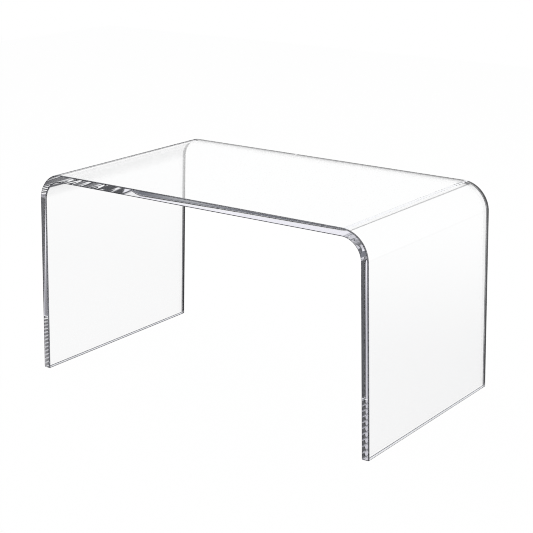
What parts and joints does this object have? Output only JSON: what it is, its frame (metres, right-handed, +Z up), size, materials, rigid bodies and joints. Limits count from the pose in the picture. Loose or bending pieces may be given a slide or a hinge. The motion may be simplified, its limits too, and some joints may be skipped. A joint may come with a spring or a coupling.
{
  "type": "waterfall coffee table",
  "caption": "Clear acrylic waterfall coffee table: a thick sheet bent down at both ends into panel legs, with rounded corners, polished edges and thin clear pads under the legs.",
  "frame": {"origin": "on the floor, under the middle of the table top", "axes": "+X along the table to the right as seen from its front, +Y to its rear, +Z up"},
  "size_m": [0.7698, 0.43, 0.406],
  "materials": {
    "clear_acrylic": "colourless clear cast acrylic, polished faces and polished cut edges",
    "clear_pad": "soft clear polyurethane with a faintly frosted skin"
  },
  "bodies": {
    "root": {"bent_sheet": "clear_acrylic", "front_left_pad": "clear_pad", "front_right_pad": "clear_pad", "rear_left_pad": "clear_pad", "rear_right_pad": "clear_pad"}
  },
  "joints": []
}
